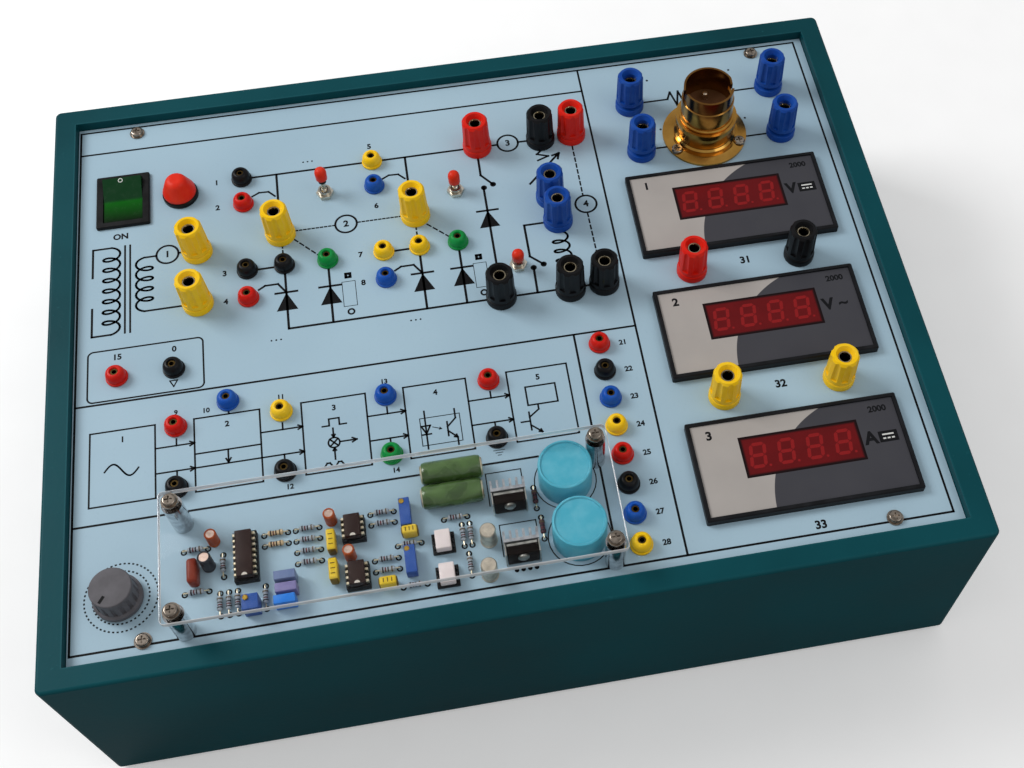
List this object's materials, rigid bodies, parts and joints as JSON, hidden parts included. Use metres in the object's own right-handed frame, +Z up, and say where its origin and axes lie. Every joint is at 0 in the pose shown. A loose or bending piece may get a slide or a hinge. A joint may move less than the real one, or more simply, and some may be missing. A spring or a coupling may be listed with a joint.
{
  "type": "power electronics training bench",
  "caption": "Desktop case with a recessed panel of binding posts, test sockets, switches, panel meters, a lamp holder and a covered circuit board",
  "frame": {"origin": "middle of the footprint on the table, at the undersides of the feet", "axes": "+X to the right seen from the front edge, +Y to the rear wall, +Z up out of the panel"},
  "size_m": [0.397, 0.3073, 0.1419],
  "materials": {
    "case_paint": "teal powder coat",
    "cover_paint": "teal powder coat",
    "foot_rubber": "black rubber",
    "case_screw_steel": "zinc plated",
    "panel_print": "light blue laminate with black line print",
    "panel_screw_steel": "nickel plated",
    "inlet_plastic": "black moulding",
    "housing_plastic": "black moulding",
    "rocker_plastic": "green translucent moulding",
    "fuse_body_plastic": "black moulding",
    "fuse_cap_plastic": "red moulding",
    "fuse_glass": "clear glass",
    "toggle_metal": "nickel plated",
    "toggle_nut_metal": "nickel plated",
    "mode_lever_metal": "nickel plated with a red sleeve",
    "s1_lever_metal": "nickel plated with a red sleeve",
    "s2_lever_metal": "nickel plated with a red sleeve",
    "pot_metal": "zinc plated",
    "pot_shaft_metal": "turned",
    "knob_plastic": "grey moulding",
    "socket_plastic": "moulded, in several colours",
    "socket_brass": "plain brass",
    "post_base_plastic": "moulded, in several colours",
    "post_stud_metal": "nickel plated",
    "meter_case_plastic": "black moulding",
    "meter_window_film": "printed film over a dark window",
    "lamp_brass": "lacquered brass",
    "lamp_insert_plastic": "dark moulding",
    "lamp_contact_front_brass": "plain brass",
    "lamp_contact_rear_brass": "plain brass",
    "cover_acrylic": "clear acrylic",
    "pillar_metal": "nickel plated",
    "chip_plastic": "black epoxy",
    "sink_aluminium": "plain",
    "capacitor_skin": "several colours",
    "trimmer_plastic": "blue moulding",
    "resistor_paint": "lacquered, several colours",
    "pulse_can_plastic": "cyan potted can",
    "core_steel": "laminated steel",
    "winding_tape": "yellow tape",
    "head_yellow_1": "moulded",
    "head_yellow_2": "moulded",
    "head_yellow_3": "moulded",
    "head_yellow_4": "moulded",
    "head_yellow_5": "moulded",
    "head_yellow_6": "moulded",
    "head_red_1": "moulded",
    "head_red_2": "moulded",
    "head_red_3": "moulded",
    "head_black_1": "moulded",
    "head_black_2": "moulded",
    "head_black_3": "moulded",
    "head_black_4": "moulded",
    "head_black_5": "moulded",
    "head_blue_1": "moulded",
    "head_blue_2": "moulded",
    "head_blue_3": "moulded",
    "head_blue_4": "moulded",
    "head_blue_5": "moulded",
    "head_blue_6": "moulded"
  },
  "bodies": {
    "case": {"case_shell": "case_paint", "bottom_cover": "cover_paint", "rubber_feet": "foot_rubber", "case_screws": "case_screw_steel", "front_panel": "panel_print", "panel_screws": "panel_screw_steel", "mains_inlet": "inlet_plastic", "switch_housing": "housing_plastic", "fuse_holder": "fuse_body_plastic", "toggle_bodies": "toggle_metal", "toggle_nuts": "toggle_nut_metal", "phase_potentiometer": "pot_metal", "test_sockets": "socket_plastic", "socket_contacts": "socket_brass", "post_bases": "post_base_plastic", "post_studs": "post_stud_metal", "meter_cases": "meter_case_plastic", "meter_windows": "meter_window_film", "lamp_holder_shell": "lamp_brass", "lamp_holder_insert": "lamp_insert_plastic", "cover_sheet": "cover_acrylic", "cover_pillars": "pillar_metal", "semiconductors": "chip_plastic", "heat_sinks": "sink_aluminium", "capacitors": "capacitor_skin", "trimmers": "trimmer_plastic", "resistors": "resistor_paint", "pulse_transformers": "pulse_can_plastic", "transformer_core": "core_steel", "transformer_winding": "winding_tape"},
    "rocker": {"power_rocker": "rocker_plastic"},
    "fuse_carrier": {"fuse_cap": "fuse_cap_plastic", "fuse_link": "fuse_glass"},
    "mode_switch_lever": {"mode_lever": "mode_lever_metal"},
    "s1_switch_lever": {"s1_lever": "s1_lever_metal"},
    "s2_switch_lever": {"s2_lever": "s2_lever_metal"},
    "knob": {"phase_knob": "knob_plastic", "pot_shaft": "pot_shaft_metal"},
    "front_lamp_contact": {"lamp_contact_front": "lamp_contact_front_brass"},
    "rear_lamp_contact": {"lamp_contact_rear": "lamp_contact_rear_brass"},
    "yellow_head_1": {"post_head_yellow_1": "head_yellow_1"},
    "yellow_head_2": {"post_head_yellow_2": "head_yellow_2"},
    "yellow_head_3": {"post_head_yellow_3": "head_yellow_3"},
    "yellow_head_4": {"post_head_yellow_4": "head_yellow_4"},
    "yellow_head_5": {"post_head_yellow_5": "head_yellow_5"},
    "yellow_head_6": {"post_head_yellow_6": "head_yellow_6"},
    "red_head_1": {"post_head_red_1": "head_red_1"},
    "red_head_2": {"post_head_red_2": "head_red_2"},
    "red_head_3": {"post_head_red_3": "head_red_3"},
    "black_head_1": {"post_head_black_1": "head_black_1"},
    "black_head_2": {"post_head_black_2": "head_black_2"},
    "black_head_3": {"post_head_black_3": "head_black_3"},
    "black_head_4": {"post_head_black_4": "head_black_4"},
    "black_head_5": {"post_head_black_5": "head_black_5"},
    "blue_head_1": {"post_head_blue_1": "head_blue_1"},
    "blue_head_2": {"post_head_blue_2": "head_blue_2"},
    "blue_head_3": {"post_head_blue_3": "head_blue_3"},
    "blue_head_4": {"post_head_blue_4": "head_blue_4"},
    "blue_head_5": {"post_head_blue_5": "head_blue_5"},
    "blue_head_6": {"post_head_blue_6": "head_blue_6"}
  },
  "joints": [
    {"name": "rocker_tilt", "type": "hinge", "parent": "case", "child": "rocker", "pos_m": [-0.1656, 0.093, 0.107], "axis": [1, 0, 0], "range_deg": [-16, 0]},
    {"name": "fuse_lift", "type": "slide", "parent": "case", "child": "fuse_carrier", "axis": [0, 0, 1], "range_m": [0, 0.03]},
    {"name": "mode_toggle", "type": "hinge", "parent": "case", "child": "mode_switch_lever", "pos_m": [-0.0682, 0.081, 0.11], "axis": [1, 0, 0], "range_deg": [0, 20]},
    {"name": "s1_toggle", "type": "hinge", "parent": "case", "child": "s1_switch_lever", "pos_m": [-0.0049, 0.0715, 0.11], "axis": [1, 0, 0], "range_deg": [0, 20]},
    {"name": "s2_toggle", "type": "hinge", "parent": "case", "child": "s2_switch_lever", "pos_m": [0.0191, 0.0223, 0.11], "axis": [1, 0, 0], "range_deg": [-20, 0]},
    {"name": "knob_turn", "type": "hinge", "parent": "case", "child": "knob", "pos_m": [-0.1669, -0.1153, 0.107], "axis": [0, 0, 1], "range_deg": [-300, 0]},
    {"name": "lamp_press_front", "type": "slide", "parent": "case", "child": "front_lamp_contact", "axis": [0, 0, 1], "range_m": [-0.003, 0], "stiffness_N_per_m": 1500, "springref_m": 0.002},
    {"name": "lamp_press_rear", "type": "slide", "parent": "case", "child": "rear_lamp_contact", "axis": [0, 0, 1], "range_m": [-0.003, 0], "stiffness_N_per_m": 1500, "springref_m": 0.002},
    {"name": "yellow_1_screw", "type": "hinge", "parent": "case", "child": "yellow_head_1", "pos_m": [-0.1308, 0.0562, 0.107], "axis": [0, 0, 1], "range_deg": [0, 1080]},
    {"name": "yellow_2_screw", "type": "hinge", "parent": "case", "child": "yellow_head_2", "pos_m": [-0.1312, 0.0262, 0.107], "axis": [0, 0, 1], "range_deg": [0, 1080]},
    {"name": "yellow_3_screw", "type": "hinge", "parent": "case", "child": "yellow_head_3", "pos_m": [-0.0911, 0.0597, 0.107], "axis": [0, 0, 1], "range_deg": [0, 1080]},
    {"name": "yellow_4_screw", "type": "hinge", "parent": "case", "child": "yellow_head_4", "pos_m": [-0.026, 0.06, 0.107], "axis": [0, 0, 1], "range_deg": [0, 1080]},
    {"name": "yellow_5_screw", "type": "hinge", "parent": "case", "child": "yellow_head_5", "pos_m": [0.0995, -0.0647, 0.107], "axis": [0, 0, 1], "range_deg": [0, 1080]},
    {"name": "yellow_6_screw", "type": "hinge", "parent": "case", "child": "yellow_head_6", "pos_m": [0.1526, -0.0643, 0.107], "axis": [0, 0, 1], "range_deg": [0, 1080]},
    {"name": "red_1_screw", "type": "hinge", "parent": "case", "child": "red_head_1", "pos_m": [0.0092, 0.0972, 0.107], "axis": [0, 0, 1], "range_deg": [0, 1080]},
    {"name": "red_2_screw", "type": "hinge", "parent": "case", "child": "red_head_2", "pos_m": [0.057, 0.0973, 0.107], "axis": [0, 0, 1], "range_deg": [0, 1080]},
    {"name": "red_3_screw", "type": "hinge", "parent": "case", "child": "red_head_3", "pos_m": [0.0996, 0.0049, 0.107], "axis": [0, 0, 1], "range_deg": [0, 1080]},
    {"name": "black_1_screw", "type": "hinge", "parent": "case", "child": "black_head_1", "pos_m": [0.0412, 0.0967, 0.107], "axis": [0, 0, 1], "range_deg": [0, 1080]},
    {"name": "black_2_screw", "type": "hinge", "parent": "case", "child": "black_head_2", "pos_m": [0.0086, 0.0053, 0.107], "axis": [0, 0, 1], "range_deg": [0, 1080]},
    {"name": "black_3_screw", "type": "hinge", "parent": "case", "child": "black_head_3", "pos_m": [0.0412, 0.0042, 0.107], "axis": [0, 0, 1], "range_deg": [0, 1080]},
    {"name": "black_4_screw", "type": "hinge", "parent": "case", "child": "black_head_4", "pos_m": [0.0574, 0.0049, 0.107], "axis": [0, 0, 1], "range_deg": [0, 1080]},
    {"name": "black_5_screw", "type": "hinge", "parent": "case", "child": "black_head_5", "pos_m": [0.1519, 0.0052, 0.107], "axis": [0, 0, 1], "range_deg": [0, 1080]},
    {"name": "blue_1_screw", "type": "hinge", "parent": "case", "child": "blue_head_1", "pos_m": [0.0418, 0.0447, 0.107], "axis": [0, 0, 1], "range_deg": [0, 1080]},
    {"name": "blue_2_screw", "type": "hinge", "parent": "case", "child": "blue_head_2", "pos_m": [0.0405, 0.0595, 0.107], "axis": [0, 0, 1], "range_deg": [0, 1080]},
    {"name": "blue_3_screw", "type": "hinge", "parent": "case", "child": "blue_head_3", "pos_m": [0.0897, 0.111, 0.107], "axis": [0, 0, 1], "range_deg": [-720, 360]},
    {"name": "blue_4_screw", "type": "hinge", "parent": "case", "child": "blue_head_4", "pos_m": [0.09, 0.0803, 0.107], "axis": [0, 0, 1], "range_deg": [-720, 360]},
    {"name": "blue_5_screw", "type": "hinge", "parent": "case", "child": "blue_head_5", "pos_m": [0.163, 0.1118, 0.107], "axis": [0, 0, 1], "range_deg": [-720, 360]},
    {"name": "blue_6_screw", "type": "hinge", "parent": "case", "child": "blue_head_6", "pos_m": [0.1619, 0.081, 0.107], "axis": [0, 0, 1], "range_deg": [-720, 360]}
  ]
}
